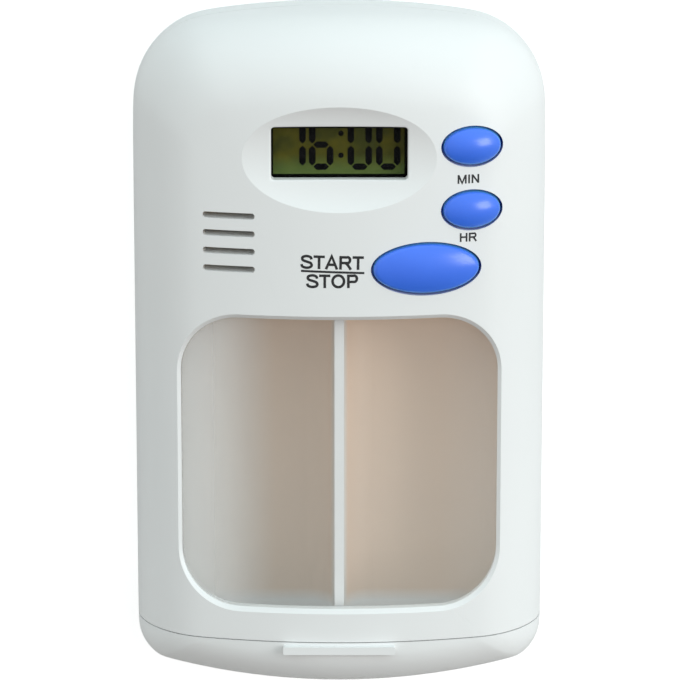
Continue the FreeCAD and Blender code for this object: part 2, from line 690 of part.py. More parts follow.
def rear_housing():
    """Flat back shell with its screw posts, battery well, drawer guides and drawer stops."""
    top = "parting_height - parting_gap"
    zone = block("rear_zone", MIDDLE_BAND, ("seam_y", "beyond"), ("-overshoot", top))
    shell = common("rear_shell", shell_form, zone)
    parts = [block("rear_rib", MIDDLE_BAND, ("bay_end", "rib_end"), ("0", top))]
    for number, (x, y) in enumerate(POSTS):
        parts.append(rod("rear_post_%d" % number, x, y, ("0", top), "rear_post_radius"))
    guide_z = ("0", "parting_height - hook_drop - cell_gap * 2")
    for x in ("-guide_far", "-guide_near"), ("guide_near", "guide_far"):
        parts.append(block("guide_%d" % len(parts), x, ("seam_y", "bay_end"), guide_z))
    for middle in ("-stop_x", "stop_x"):
        x = (middle + " - stop_width / 2", middle + " + stop_width / 2")
        y = ("stop_y - stop_length", "stop_y")
        parts.append(block("stop_%d" % len(parts), x, y, ("0", "wall + stop_height")))
    inside = common("rear_inside", fuse("rear_ribs", parts), wall_form)
    base_z = ("wall / 2", "chamber_top + well_wall")
    lower_well = rod("well_base", "0", "battery_y", base_z, "chamber_radius + well_wall")
    upper_well = rod("well_tube", "0", "battery_y", ("wall / 2", "well_top"), "well_outer")
    solid = fuse("rear_solid", [shell, inside, lower_well, upper_well])
    strip_half = "contact_strip_width / 2 + cell_gap * 2"
    holes = [
        rod("door_recess", "0", "battery_y", ("-overshoot", "door_top + door_gap"), "door_radius + door_gap"),
        rod("hub_hole", "0", "battery_y", ("-overshoot", "wall + overshoot"), "hub_radius + door_gap"),
        rod("lug_chamber", "0", "battery_y", ("wall", "chamber_top"), "chamber_radius"),
        rod("cell_bore", "0", "battery_y", ("wall", "well_top + overshoot"), "well_inner"),
        block(
            "strip_slot",
            ("well_inner - overshoot", "well_outer - strip_thick"),
            ("battery_y - (%s)" % strip_half, "battery_y + " + strip_half),
            ("chamber_top", "well_top + overshoot"),
        ),
        block(
            "lug_notches",
            ("-lug_width / 2 - cell_gap * 2", "lug_width / 2 + cell_gap * 2"),
            ("battery_y - lug_end - door_gap", "battery_y + lug_end + door_gap"),
            ("0", "wall + overshoot"),
        ),
    ]
    shank_z = ("-overshoot", "parting_height + overshoot")
    for number, (x, y) in enumerate(POSTS):
        head_radius = "screw_head_radius + screw_clearance"
        holes.append(rod("head_hole_%d" % number, x, y, ("-overshoot", "head_top"), head_radius))
        holes.append(rod("shank_hole_%d" % number, x, y, shank_z, "screw_radius + screw_clearance"))
    return cut("rear_housing", solid, fuse("rear_holes", holes))


def pill_window():
    """Clear pane: a raised middle that fills the opening and a rim under the front housing."""
    raised = plate(
        "pane_middle",
        ("-window_width / 2 + pane_gap", "window_width / 2 - pane_gap"),
        ("window_bottom + pane_gap", "window_top - pane_gap"),
        ("parting_height + wall", "above"),
        "window_corner - pane_gap",
    )
    rim = plate(
        "pane_rim",
        ("-window_width / 2 - pane_rim", "window_width / 2 + pane_rim"),
        ("window_bottom - pane_rim", "window_top + pane_rim"),
        ("parting_height + wall", "above"),
        "window_corner + pane_rim",
    )
    sheets = [common("pane_raised", raised, pane_form), common("pane_sheet", rim, ceiling_form)]
    solid = fuse("pane_solid", sheets)
    return cut("pill_window", solid, under_form)


def display_parts():
    """Lens, display cell, reflector, frame and rubber contact strip, from the front to the board."""
    lens_half = "display_width / 2 + lens_rim"
    lens_tall = "display_height / 2 + lens_rim"
    lens_y = ("display_y - (%s)" % lens_tall, "display_y + " + lens_tall)
    lens_x = ("-(%s)" % lens_half, lens_half)
    lens = plate("display_lens", lens_x, lens_y, ("lens_bottom", "lens_top"), "display_round")
    glass_x = ("-glass_width / 2", "glass_width / 2")
    front = block("lcd_front_glass", glass_x, ("glass_low", "glass_high"), ("rear_glass_top", "cell_top"))
    rear_y = ("glass_low", "glass_high + glass_ledge")
    rear = block("lcd_rear_glass", glass_x, rear_y, ("rear_glass_bottom", "rear_glass_top"))
    reflector = block(
        "lcd_reflector",
        ("-glass_width / 2 + cell_gap * 2", "glass_width / 2 - cell_gap * 2"),
        ("glass_low + cell_gap * 2", "glass_high - cell_gap * 2"),
        ("reflector_bottom", "rear_glass_bottom"),
    )
    pocket_half = "glass_width / 2 + cell_gap"
    outside_half = pocket_half + " + frame_wall"
    pocket_y = ("glass_low - cell_gap", "glass_high + glass_ledge + cell_gap")
    outside = plate(
        "frame_outside",
        ("-(%s)" % outside_half, outside_half),
        (pocket_y[0] + " - frame_wall", pocket_y[1] + " + frame_wall"),
        ("board_top", "lens_bottom - cell_gap"),
        "display_round",
    )
    pocket_x = ("-(%s)" % pocket_half, pocket_half)
    pocket = block("frame_pocket", pocket_x, pocket_y, ("reflector_bottom", "above"))
    well = block(
        "frame_well",
        ("-(%s) + frame_wall" % pocket_half, pocket_half + " - frame_wall"),
        (pocket_y[0] + " + frame_wall", pocket_y[1]),
        ("0", "above"),
    )
    frame = cut("lcd_frame", outside, fuse("frame_hollow", [pocket, well]))
    strip_y = "glass_high + glass_ledge - cell_gap"
    strip = block(
        "contact_rubber",
        ("-(%s) + frame_wall * 2" % pocket_half, pocket_half + " - frame_wall * 2"),
        (strip_y + " - strip_width", strip_y),
        ("board_top", "rear_glass_bottom"),
    )
    return [lens, front, rear, reflector, frame, strip]


def circuit_board():
    """Board with room for the screw posts and holes for its own screws."""
    blank = plate(
        "board_blank",
        ("-board_width / 2", "board_width / 2"),
        ("board_low", "board_high"),
        ("board_bottom", "board_top"),
        "board_corner",
    )
    holes = []
    z = ("board_bottom - overshoot", "board_top + overshoot")
    for number, (x, y) in enumerate(POSTS):
        holes.append(rod("board_notch_%d" % number, x, y, z, "front_post_radius + board_notch"))
    for number, (x, y) in enumerate(BOARD_POSTS):
        holes.append(rod("board_hole_%d" % number, x, y, z, "board_screw_radius + screw_clearance"))
    return cut("circuit_board", blank, fuse("board_holes", holes))


def board_parts():
    """Timer chip, quartz crystal, resistors and capacitors on the board's rear face."""
    blob = ball("chip_ball", "chip_x", "chip_y", "board_bottom", "chip_radius", "chip_radius", "chip_height")
    rear = block("chip_zone", MIDDLE_BAND, ("0", "beyond"), ("0", "board_bottom"))
    chip = common("timer_chip", blob, rear)

    can = doc.addObject("Part::Cylinder", "crystal_can")
    bind(can, Radius="crystal_radius", Height="crystal_length")
    can.Placement.Rotation = FreeCAD.Rotation(FreeCAD.Vector(0, 1, 0), 90)
    level = "board_bottom - crystal_radius - cell_gap"
    place(can, "crystal_x - crystal_length / 2", "crystal_y", level)
    leads = []
    for number, side in enumerate(("-1", "1")):
        middle = "crystal_y + %s * crystal_radius / 2" % side
        y = (middle + " - lead_radius", middle + " + lead_radius")
        z = (level + " - lead_radius", level + " + lead_radius")
        end = "crystal_x - crystal_length / 2"
        bend = end + " - crystal_radius"
        leads.append(block("lead_along_%d" % number, (bend, end), y, z))
        up_x = (bend, bend + " + 2 * lead_radius")
        leads.append(block("lead_up_%d" % number, up_x, y, (z[0], "board_bottom")))
    crystal = fuse("quartz_crystal", [can] + leads)

    def chips(name, count, size, x, y, pitch):
        """A row of like parts across the board's rear face."""
        long, wide, high = size
        made = []
        for number in range(count):
            middle = "%s + %s * %d" % (x, pitch, number)
            spot = (middle + " - %s / 2" % long, middle + " + %s / 2" % long)
            z = ("board_bottom - " + high, "board_bottom")
            made.append(block("%s_%d" % (name, number), spot, (y, y + " + " + wide), z))
        return group(name, made)

    resistor = ("chip_part_long", "chip_part_wide", "chip_part_high")
    resistors = chips("resistors", 3, resistor, "resistor_x", "board_low + resistor_rise", "resistor_pitch")
    capacitor = ("capacitor_long", "capacitor_wide", "capacitor_high")
    low = "board_low + capacitor_rise"
    capacitors = chips("capacitors", 2, capacitor, "capacitor_x", low, "capacitor_pitch")
    return [chip, crystal, resistors, capacitors]


def button(name):
    """Domed oval cap with a rim under the ceiling and a stem down to its switch."""
    x, y, half_x, half_y = BUTTONS[name]
    tilt = "atan((%s) / crown_radius)" % x
    rise = "(dome_depth + button_rise)"
    edge_share = "sqrt(1 - ((dome_depth + button_edge) / %s) ^ 2)" % rise
    upright = ("parting_height + wall", "above")
    cap = oval(name + "_cap", x, y, upright, half_x + " - button_gap", half_y + " - button_gap")
    dome = ball(
        name + "_dome",
        "%s - dome_depth * sin(%s)" % (x, tilt),
        y,
        "%s - dome_depth * cos(%s)" % (front_height(x), tilt),
        "(%s - button_gap) / %s" % (half_x, edge_share),
        "(%s - button_gap) / %s" % (half_y, edge_share),
        rise,
    )
    dome.setExpression("Placement.Rotation.Axis.x", "0")
    dome.setExpression("Placement.Rotation.Axis.y", "1")
    dome.setExpression("Placement.Rotation.Axis.z", "0")
    dome.setExpression("Placement.Rotation.Angle", full(tilt))
    domed = common(name + "_domed", cap, dome)
    lowest = value(front_height(half_x + " + " + x)) - value("side_roll")

    def on_cap_edge(edge):
        return edge.BoundBox.ZMin > lowest and edge.BoundBox.XLength > value(half_x)

    soft = soften(name + "_soft", domed, "Fillet", "button_soft", on_cap_edge)
    rim_oval = oval(name + "_rim", x, y, upright, half_x + " + button_rim", half_y + " + button_rim")
    beside_rib = block(name + "_room", MIDDLE_BAND, ("rib_end + drawer_gap", "beyond"), ("0", "above"))
    rim = common(name + "_flange", common(name + "_rim_cut", rim_oval, beside_rib), ceiling_form)
    hollow = cut(name + "_hollow", fuse(name + "_whole", [soft, rim]), under_form)
    stem_top = front_height(x) + " - wall"
    stem = rod(name + "_stem", x, y, ("stem_bottom", stem_top), "stem_radius")
    return fuse(name + "_button", [hollow, stem])


def switches():
    """Three push switches on the board: their bodies in one node, and a plunger each."""
    bodies = []
    plungers = []
    for name, (x, y, _, _) in BUTTONS.items():
        half = "switch_size / 2"
        spot_x = ("%s - %s" % (x, half), "%s + %s" % (x, half))
        spot_y = ("%s - %s" % (y, half), "%s + %s" % (y, half))
        case = block(name + "_switch_case", spot_x, spot_y, ("board_top", "switch_top"))
        bore_z = ("board_top + switch_floor", "switch_top + overshoot")
        bore = rod(name + "_bore", x, y, bore_z, "plunger_radius + plunger_gap")
        bodies.append(cut(name + "_switch", case, bore))
        low = "board_top + switch_floor + button_travel + cell_gap"
        plungers.append(rod(name + "_plunger", x, y, (low, "plunger_top"), "plunger_radius"))
    return [group("switch_bodies", bodies)] + plungers


def sounder():
    """Brass disc on the ring of the front housing, its ceramic disc and two contact strips."""
    brass_low = "sounder_level - disc_thick"
    brass = rod("sounder_disc", "sounder_x", "sounder_y", (brass_low, "sounder_level"), "sounder_radius")
    ceramic_low = brass_low + " - ceramic_thick"
    ceramic = rod("sounder_ceramic", "sounder_x", "sounder_y", (ceramic_low, brass_low), "ceramic_radius")
    strips = []
    y = ("sounder_y - contact_width / 2", "sounder_y + contact_width / 2")
    on_brass = "sounder_x - ceramic_radius - cell_gap * 2"
    for number, (x, reach) in enumerate((("sounder_x", ceramic_low), (on_brass, brass_low))):
        foot_z = ("board_top", "board_top + strip_thick")
        foot = block("foot_%d" % number, (x, x + " + contact_foot"), y, foot_z)
        riser = block("riser_%d" % number, (x, x + " + strip_thick"), y, ("board_top", reach))
        arm_x = (x + " - contact_width / 2", x + " + strip_thick")
        arm = block("arm_%d" % number, arm_x, y, (reach + " - strip_thick", reach))
        strips.append(fuse("sounder_contact_%d" % number, [foot, riser, arm]))
    return [brass, ceramic, group("sounder_contacts", strips)]


def battery_parts():
    """Two button cells one on the other, the sprung leaf above them, two contacts and the round door."""
    parts = []
    for name, low in (("lower_cell", "door_top"), ("upper_cell", "second_cell")):
        shoulder = low + " + battery_height - battery_cap_height"
        can = rod(name + "_can", "0", "battery_y", (low, shoulder), "battery_radius")
        cap = rod(name + "_cap", "0", "battery_y", (low, low + " + battery_height"), "battery_cap_radius")
        parts.append(fuse(name, [can, cap]))

    plate_disc = rod("contact_plate", "0", "battery_y", ("plate_bottom", "board_bottom"), "plate_radius")
    parts.append(plate_disc)

    wide = ("-leaf_width / 2", "leaf_width / 2")
    bend, toe = "battery_y - leaf_reach + contact_foot", "battery_y + leaf_reach - contact_foot"
    upper, lower = "plate_bottom - strip_thick", "cells_top"
    foot = block("leaf_foot", wide, ("battery_y - leaf_reach", bend), (upper, "plate_bottom"))
    tip = block("leaf_tip", wide, (toe, "battery_y + leaf_reach"), (lower, "cells_top + strip_thick"))
    arm = doc.addObject("Part::Wedge", "leaf_arm")
    bind(arm, Xmin=wide[0], Xmax=wide[1], X2min=wide[0], X2max=wide[1], Ymin=bend, Ymax=toe)
    bind(arm, Zmin=upper, Zmax="plate_bottom", Z2min=lower, Z2max="cells_top + strip_thick")
    parts.append(fuse("battery_spring", [foot, arm, tip]))

    strip_y = ("battery_y - contact_strip_width / 2", "battery_y + contact_strip_width / 2")
    near = "battery_radius + cell_gap / 2"
    far = "well_inner + strip_thick"
    step = "second_cell - cell_gap * 2"
    foot = block("strip_foot", (near, near + " + strip_thick"), strip_y, ("chamber_top + cell_gap", step))
    jog = block("strip_jog", (near, far + " + strip_thick"), strip_y, (step + " - strip_thick", step))
    leg_z = (step + " - strip_thick", "board_bottom")
    leg = block("strip_leg", (far, far + " + strip_thick"), strip_y, leg_z)
    parts.append(fuse("battery_contact", [foot, jog, leg]))

    cover = rod("door_cover", "0", "battery_y", ("door_sink", "door_top"), "door_radius")
    hub = rod("door_hub", "0", "battery_y", ("door_sink", "door_top + hub_height"), "hub_radius")
    lug_y = ("battery_y - lug_width / 2", "battery_y + lug_width / 2")
    lugs = block("door_lugs", ("-lug_end", "lug_end"), lug_y, ("lug_bottom", "lug_top"))
    seat = rod("cell_seat", "0", "battery_y", ("door_top", "above"), "battery_radius + cell_gap * 2")
    coin = block(
        "coin_slot",
        ("-coin_length / 2", "coin_length / 2"),
        ("battery_y - coin_width / 2", "battery_y + coin_width / 2"),
        ("-overshoot", "door_sink + coin_depth"),
    )
    door = fuse("door_solid", [cover, hub, lugs])
    parts.append(cut("battery_door", door, fuse("door_hollow", [seat, coin])))
    return parts


def screw(name, x, y, z, radius, head_radius, head_height):
    """A screw driven upwards: its head's top face down, a cross recess in it, and a straight shank."""
    low, tip = z
    seat = "%s + %s" % (low, head_height)
    head = rod(name + "_head", x, y, (low, seat), head_radius)
    shank = rod(name + "_shank", x, y, (low, tip), radius)
    bars = []
    scale = "(%s) / screw_head_radius" % head_radius
    for turn, (long, wide) in enumerate((("cross_length", "cross_width"), ("cross_width", "cross_length"))):
        spot_x = ("%s - %s / 2 * %s" % (x, long, scale), "%s + %s / 2 * %s" % (x, long, scale))
        spot_y = ("%s - %s / 2 * %s" % (y, wide, scale), "%s + %s / 2 * %s" % (y, wide, scale))
        spot_z = (low + " - overshoot", low + " + cross_depth * " + scale)
        bars.append(block("%s_bar_%d" % (name, turn), spot_x, spot_y, spot_z))
    return cut(name, fuse(name + "_solid", [head, shank]), fuse(name + "_cross", bars))


def screws():
    """Four screws that hold the housings together and three that hold the board."""
    housing = []
    sizes = ("screw_radius", "screw_head_radius", "screw_head_height")
    for number, (x, y) in enumerate(POSTS):
        housing.append(screw("housing_screw_%d" % number, x, y, ("screw_sink", "screw_tip"), *sizes))
    board = []
    sizes = ("board_screw_radius", "board_screw_head", "board_screw_height")
    for number, (x, y) in enumerate(BOARD_POSTS):
        z = ("board_bottom - board_screw_height", "board_top + board_screw_reach")
        board.append(screw("board_screw_%d" % number, x, y, z, *sizes))
    return [group("housing_screws", housing), group("board_screws", board)]


def pill_drawer():
    """Tray with two compartments and the curved end of the case in one piece, with a thumb ledge."""
    cap_start = "seam_y - seam_gap"
    tray_zone = block("tray_zone", MIDDLE_BAND, (cap_start + " - wall", "tray_end"), ("0", "above"))
    tray = common("tray", tray_form, tray_zone)
    cap_zone = block("cap_zone", MIDDLE_BAND, ("-beyond", cap_start), ("-overshoot", "above"))
    cap = common("cap", outer_form, cap_zone)
    cap_skin = cut("cap_skin", cap, inner_form)
    ledge_y = ("%s - ledge_inset - ledge_depth" % cap_start, "%s - ledge_inset" % cap_start)
    ledge = plate(
        "ledge",
        ("-ledge_width / 2", "ledge_width / 2"),
        ledge_y,
        ("case_height - ledge_root", "case_height + ledge_rise"),
        "ledge_corner",
    )
    solid = fuse("drawer_solid", [tray, cap])
    near, far = "divider_thick / 2", "tray_half - tray_wall"
    pocket_y = ("wall - half_length + wall / 2", "tray_end - tray_wall")

    def at_display_end(edge):
        return edge.BoundBox.YMin > value(pocket_y[1]) - NEAR and edge.BoundBox.ZMin < value("above") - NEAR

    def below_and_at_drawer_end(edge):
        return edge.BoundBox.ZMin < value("above") - NEAR and edge.BoundBox.YMin < value(pocket_y[1]) - NEAR

    hollows = []
    for side, x in ("left", ("-(%s)" % far, "-(%s)" % near)), ("right", (near, far)):
        box = block("pocket_%s" % side, x, pocket_y, ("floor_top", "above"))
        trough = soften("trough_%s" % side, box, "Fillet", "trough_round", below_and_at_drawer_end)
        pocket = soften("trough_%s_end" % side, trough, "Fillet", "trough_corner", at_display_end)
        hollows.append(cut("compartment_%s" % side, pocket, cap_skin))
    half = "stop_width / 2 + stop_gap"
    groove_y = ("stop_y - stop_length - stop_gap", "stop_y + drawer_travel + stop_gap")
    groove_z = ("0", "wall + stop_height + stop_gap")
    for middle in ("-stop_x", "stop_x"):
        x = ("%s - (%s)" % (middle, half), "%s + %s" % (middle, half))
        hollows.append(block("groove_%d" % len(hollows), x, groove_y, groove_z))
    return fuse("pill_drawer", [cut("drawer_open", solid, fuse("drawer_hollows", hollows)), ledge])


pieces = [front_housing(), rear_housing(), pill_window(), circuit_board(), pill_drawer()]
pieces += display_parts()
pieces += board_parts()
pieces += [button(name) for name in BUTTONS]
pieces += switches()
pieces += sounder()
pieces += battery_parts()
pieces += screws()
doc.recompute()

failed = [item.Name for item in doc.Objects if "Invalid" in item.State or "Error" in item.State]
for piece in pieces:
    if piece.Shape.isNull() or not piece.Shape.isValid() or not piece.Shape.Solids:
        failed.append(piece.Name)
if failed:
    raise RuntimeError("these did not build: " + ", ".join(failed))

os.makedirs("parts", exist_ok=True)
for piece in pieces:
    piece.Label = piece.Name
    piece.Shape.exportStep(os.path.join("parts", piece.Label + ".step"))
    print("%-18s %2d solids %9.1f cubic mm" % (piece.Label, len(piece.Shape.Solids), piece.Shape.Volume))
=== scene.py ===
import math

import bmesh
import bpy
from mathutils import Matrix, Vector
from mathutils.bvhtree import BVHTree


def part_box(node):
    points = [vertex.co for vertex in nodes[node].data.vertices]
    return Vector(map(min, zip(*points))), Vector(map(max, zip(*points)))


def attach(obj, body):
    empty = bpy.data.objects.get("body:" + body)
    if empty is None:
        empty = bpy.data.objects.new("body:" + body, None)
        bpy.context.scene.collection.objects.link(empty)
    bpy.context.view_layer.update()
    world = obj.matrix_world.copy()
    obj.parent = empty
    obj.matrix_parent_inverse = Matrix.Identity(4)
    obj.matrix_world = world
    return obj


# Looks of the electronic pill box: mouldings, window, display, lettering, light and camera.
# Lengths are in metres in the part's own frame: +Z out of the front, +Y towards the display end.

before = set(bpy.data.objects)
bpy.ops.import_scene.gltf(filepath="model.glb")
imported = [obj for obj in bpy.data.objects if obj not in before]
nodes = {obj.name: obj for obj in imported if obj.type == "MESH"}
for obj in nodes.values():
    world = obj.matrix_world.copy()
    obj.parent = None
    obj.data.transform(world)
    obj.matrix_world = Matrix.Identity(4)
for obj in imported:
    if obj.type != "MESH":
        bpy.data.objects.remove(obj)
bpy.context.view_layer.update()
MM = 0.001

# Places read from the photograph, in millimetres on the front.
START_TEXT = (-0.9, 14.42)
STOP_TEXT = (-0.98, 11.8)
RULE = (-5.2, 3.4, 13.08)
RULE_WEIGHT = 0.3
START_TILT = math.radians(-1.2)
RULE_TILT = math.radians(-1.9)
MIN_TEXT = (17.5, 25.57)
HOUR_TEXT = (17.57, 17.45)
BIG_CAPS = 1.9
SMALL_CAPS = 1.22
INK_TOP = 0.02
INK_ROOT = -0.01
RULE_STEPS = 24
WELL_ABOVE = 0.1

# Digits of the display: left edges, lower edge, width, height and stroke.
DIGITS = (("1", -7.85), ("6", -4.11), ("0", 1.13), ("0", 5.0))
DIGIT_LOW = 26.41
DIGIT_WIDTH = 3.3
DIGIT_HEIGHT = 7.0
STROKE = 0.88
STROKE_GAP = 0.3
COLON_X = 0.23
COLON_Y = (28.43, 31.48)
COLON_RADIUS = 0.37
COLON_STEPS = 16
DIGIT_GAP = 0.03
BORDER_GAP = 0.05
FILM_THICK = 0.02

# Inner edges of the black border round the display, painted shade at the edge of what the opening shows: left,
# right, lower and upper.
BORDER = (-9.0, 8.85, 25.85, 32.2)

# Colours.
WHITE_LIGHT = (0.88, 0.88, 0.875)
WHITE_DARK = (0.86, 0.86, 0.855)
INSIDE_TAN = (0.84, 0.67, 0.54)
# Painted light inside the drawer: a brighter tan towards the display end, and a pale tone where light through
# the outer walls is painted in.
INSIDE_TAN_PAINTED_LIGHT = (0.94, 0.74, 0.58)
WALL_PAINTED_LIGHT = (0.93, 0.91, 0.87)
FILM_BROWN = (0.1, 0.09, 0.008)
FILM_DARK = (0.05, 0.055, 0.008)
FILM_GREEN = (0.13, 0.2, 0.05)
INK_LIGHT = (0.02, 0.02, 0.022)
INK_DARK = (0.015, 0.015, 0.016)
INK_GRAIN = 900.0
DIGIT_LIGHT = (0.004, 0.004, 0.005)
DIGIT_DARK = (0.003, 0.003, 0.004)
# Tones of the black sheet that paints the shade round the display.
BORDER_LIGHT = (0.003, 0.003, 0.003)
BORDER_DARK = (0.002, 0.002, 0.002)
PANE_COLOR = (0.9, 0.9, 0.9)
PANE_HAZE = 0.06
# Share of the pane's white at its left edge: painted light that brightens the compartment behind it.
PANE_EDGE_PAINTED_LIGHT = 0.36
BLUE_LIGHT = (0.045, 0.185, 0.95)
BLUE_DARK = (0.04, 0.17, 0.9)
BLUE_SHEEN = (0.25, 0.9, 1.0, 1.0)
LENS_TINT = (0.03, 0.03, 0.025)
LENS_SHARE = 0.05
REAR_GLASS_TINT = (0.05, 0.055, 0.02)
REAR_GLASS_SHARE = 0.08

# Where one tone turns into another, in millimetres: from none of the second tone to all of it.
CAP_TO_INSIDE = (-39.9, -38.0)
DIVIDER_TO_INSIDE = (0.7, 1.2)
# Painted light inside the drawer: paler towards the outer walls, brighter towards the display end.
LEFT_WALL_PAINTED_LIGHT = (-9.0, -22.0)
RIGHT_WALL_PAINTED_LIGHT = (14.0, 34.0)
TAN_TO_PAINTED_LIGHT = (-25.0, 0.0)
# Where the pane's painted light rises towards its left edge.
PANE_TO_EDGE = (-8.0, -22.0)
BROWN_TO_GREEN = (28.6, 25.6)

# Finishes of the pieces inside: two tones, roughness, what else differs, and the nodes that have it.
PLATED = {"Metallic": 1.0}
FINISHES = (
    ("frame_plastic", (0.8, 0.8, 0.78), (0.76, 0.76, 0.74), 0.5, {}, ("lcd_frame",)),
    (
        "plunger_plastic", (0.75, 0.75, 0.73), (0.7, 0.7, 0.68), 0.45, {},
        ("minute_plunger", "hour_plunger", "start_plunger"),
    ),
    ("strip_rubber", (0.03, 0.03, 0.03), (0.02, 0.02, 0.02), 0.8, {"bump": 0.2}, ("contact_rubber",)),
    ("board_laminate", (0.03, 0.17, 0.06), (0.02, 0.12, 0.045), 0.4, {"scale": 700.0}, ("circuit_board",)),
    (
        "black_resin", (0.02, 0.02, 0.02), (0.012, 0.012, 0.012), 0.35, {"bump": 0.1},
        ("timer_chip", "resistors", "switch_bodies"),
    ),
    ("tan_ceramic", (0.42, 0.3, 0.16), (0.36, 0.25, 0.13), 0.5, {}, ("capacitors",)),
    ("white_ceramic", (0.75, 0.75, 0.7), (0.68, 0.68, 0.64), 0.6, {}, ("sounder_ceramic",)),
    (
        "nickel", (0.7, 0.69, 0.66), (0.62, 0.61, 0.59), 0.25, PLATED,
        (
            "quartz_crystal", "lower_cell", "upper_cell", "contact_plate", "battery_spring", "battery_contact",
            "sounder_contacts",
        ),
    ),
    ("zinc_steel", (0.6, 0.6, 0.61), (0.5, 0.5, 0.52), 0.35, PLATED, ("housing_screws", "board_screws")),
    ("brass", (0.75, 0.55, 0.24), (0.66, 0.47, 0.2), 0.28, PLATED, ("sounder_disc",)),
)

# Camera fitted to the photograph.
PITCH = math.radians(15)
DISTANCE = 0.64
TARGET = Vector((0, 0, 11.25 * MM))
FRAME_SIZE = 680
FOCAL_PIXELS = 4608
SENSOR = 36
CENTRE_X = 339.3
CENTRE_Y = 343.8

# Light: a room that brightens evenly towards the display end and the right, a soft lamp from the right and a
# weaker one from the left.
ROOM_LIGHT = 0.65
ROOM_SLOPE = (0.14, 0.65, 0.0)
ROOM_TINT = (0.2, 0.95, 0.0)
ROOM_HIGH = (0.8, 1.0, 1.04)
ROOM_LOW = (1.12, 0.97, 0.89)
KEY_PLACE = (0.8, 0.2, 0.66)
KEY_POWER = 3.8
KEY_COLOR = (1.0, 1.0, 1.0)
FILL_PLACE = (-0.95, -0.1, 0.33)
FILL_POWER = 0.5
FILL_COLOR = (1.0, 0.98, 1.0)
FLOOR_COLOR = 0.78
FLOOR_GLOW = 0.6
FLOOR_REACH = 3.0
FLOOR_LEVEL = -0.00005
LAMP_WIDTH = 0.5


def tree_of(name):
    """A new node material, with its nodes and its links."""
    mat = bpy.data.materials.new(name)
    mat.use_nodes = True
    return mat, mat.node_tree.nodes, mat.node_tree.links


def mottled(name, light, dark, roughness, scale=60.0, grain=2500.0, bump=0.02, **sockets):
    """A moulded or plated surface: two close tones through noise, varied roughness and a fine grain."""
    mat, made, links = tree_of(name)
    shader = made["Principled BSDF"]
    place = made.new("ShaderNodeTexCoord")
    cloud = made.new("ShaderNodeTexNoise")
    cloud.inputs["Scale"].default_value = scale
    cloud.inputs["Detail"].default_value = 3
    links.new(place.outputs["Object"], cloud.inputs["Vector"])
    ramp = made.new("ShaderNodeValToRGB")
    ramp.color_ramp.elements[0].position = 0.35
    ramp.color_ramp.elements[1].position = 0.65
    ramp.color_ramp.elements[0].color = (*dark, 1)
    ramp.color_ramp.elements[1].color = (*light, 1)
    links.new(cloud.outputs["Fac"], ramp.inputs["Fac"])
    links.new(ramp.outputs["Color"], shader.inputs["Base Color"])
    rough = made.new("ShaderNodeMapRange")
    rough.inputs["To Min"].default_value = roughness * 0.9
    rough.inputs["To Max"].default_value = roughness * 1.1
    links.new(cloud.outputs["Fac"], rough.inputs["Value"])
    links.new(rough.outputs["Result"], shader.inputs["Roughness"])
    fine = made.new("ShaderNodeTexNoise")
    fine.inputs["Scale"].default_value = grain
    fine.inputs["Detail"].default_value = 2
    links.new(place.outputs["Object"], fine.inputs["Vector"])
    relief = made.new("ShaderNodeBump")
    relief.inputs["Strength"].default_value = bump
    relief.inputs["Distance"].default_value = 0.0001
    links.new(fine.outputs["Fac"], relief.inputs["Height"])
    links.new(relief.outputs["Normal"], shader.inputs["Normal"])
    for socket, value in sockets.items():
        shader.inputs[socket.replace("_", " ")].default_value = value
    return mat


def white_plastic():
    return mottled("white_plastic", WHITE_LIGHT, WHITE_DARK, 0.42, scale=25.0, bump=0.03)


def fade(made, links, source, ends):
    """0 where the source is at the first end, in millimetres, rising to 1 at the second."""
    ramp = made.new("ShaderNodeMapRange")
    ramp.inputs["From Min"].default_value = ends[0] * MM
    ramp.inputs["From Max"].default_value = ends[1] * MM
    links.new(source, ramp.inputs["Value"])
    return ramp.outputs["Result"]


def blend(made, links, factor, first, second):
    """Mixes two colours; each is a socket or a plain colour."""
    mix = made.new("ShaderNodeMix")
    mix.data_type = "RGBA"
    links.new(factor, mix.inputs["Factor"])
    for name, color in (("A", first), ("B", second)):
        if isinstance(color, tuple):
            mix.inputs[name].default_value = (*color, 1)
        else:
            links.new(color, mix.inputs[name])
    return mix.outputs["Result"]


def own_place(made, links):
    """The surface's place in the part's own frame, as three outputs."""
    place = made.new("ShaderNodeTexCoord")
    split = made.new("ShaderNodeSeparateXYZ")
    links.new(place.outputs["Object"], split.inputs["Vector"])
    return split.outputs


